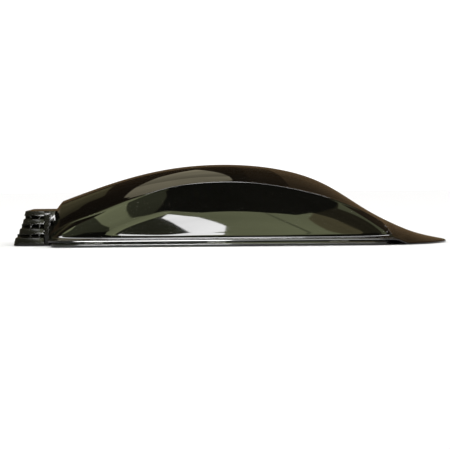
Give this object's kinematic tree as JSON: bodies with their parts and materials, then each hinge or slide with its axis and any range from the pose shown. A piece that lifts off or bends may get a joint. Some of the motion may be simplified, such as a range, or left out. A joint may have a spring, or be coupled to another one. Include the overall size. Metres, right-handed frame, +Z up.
{
  "type": "roof vent cover",
  "caption": "Low streamlined roof vent cover with a side-hinged domed hood, a stepped rear louvre, a slide-out insect screen and a flanged base frame.",
  "frame": {"origin": "on the roof plane, under the middle of the whole cover's length and width", "axes": "+X from the rear louvre to the nose, +Z up from the roof, the near latch side at -Y and the hinge side at +Y"},
  "size_m": [0.69, 0.3, 0.1265],
  "materials": {
    "hood_gloss": "polished black",
    "inner_matte": "moulded",
    "base_plastic": "semi-gloss black",
    "foam_rubber": "closed-cell foam",
    "screw_steel": "zinc plated",
    "louvre_plastic": "satin black",
    "screen_plastic": "satin",
    "mesh_metal": "woven, dark anodised",
    "hinge_black": "black powder coat",
    "pin_steel": "stainless",
    "rivet_aluminium": "dull",
    "plate_steel": "zinc plated",
    "latch_black": "black oxide"
  },
  "bodies": {
    "base": {"base_frame": "base_plastic", "roof_gasket": "foam_rubber", "hood_seal": "foam_rubber", "rain_baffle": "inner_matte", "baffle_screws": "screw_steel", "hinge_leaf_base_front": "hinge_black", "hinge_leaf_base_rear": "hinge_black", "hinge_pin_front": "pin_steel", "hinge_pin_rear": "pin_steel", "hinge_rivets_base": "rivet_aluminium", "latch_plate_front": "plate_steel", "latch_plate_middle": "plate_steel", "latch_plate_rear": "plate_steel", "latch_rivets": "rivet_aluminium"},
    "hood": {"hood_shell": "hood_gloss", "crown_bow_front": "inner_matte", "crown_bow_rear": "inner_matte", "louvre_housing": "louvre_plastic", "louvre_vane_lower": "louvre_plastic", "louvre_vane_middle": "louvre_plastic", "louvre_vane_upper": "louvre_plastic", "louvre_gasket": "foam_rubber", "louvre_screws": "screw_steel", "hinge_leaf_hood_front": "hinge_black", "hinge_leaf_hood_rear": "hinge_black", "hinge_rivets_hood": "rivet_aluminium"},
    "screen": {"screen_frame": "screen_plastic", "screen_pull": "louvre_plastic", "insect_mesh": "mesh_metal"},
    "latch_front": {"latch_stud_front": "latch_black"},
    "latch_middle": {"latch_stud_middle": "latch_black"},
    "latch_rear": {"latch_stud_rear": "latch_black"}
  },
  "joints": [
    {"name": "hood_hinge", "type": "hinge", "parent": "base", "child": "hood", "pos_m": [0, 0.1465, 0.0105], "axis": [-1, 0, 0], "range_deg": [0, 95]},
    {"name": "screen_slide", "type": "slide", "parent": "hood", "child": "screen", "axis": [0, -1, 0], "range_m": [0, 0.16]},
    {"name": "latch_front_turn", "type": "hinge", "parent": "hood", "child": "latch_front", "pos_m": [0.165, -0.1415, 0.0105], "axis": [0, 0, -1], "range_deg": [0, 90]},
    {"name": "latch_middle_turn", "type": "hinge", "parent": "hood", "child": "latch_middle", "pos_m": [-0.025, -0.1415, 0.0105], "axis": [0, 0, -1], "range_deg": [0, 90]},
    {"name": "latch_rear_turn", "type": "hinge", "parent": "hood", "child": "latch_rear", "pos_m": [-0.215, -0.1415, 0.0105], "axis": [0, 0, -1], "range_deg": [0, 90]}
  ]
}
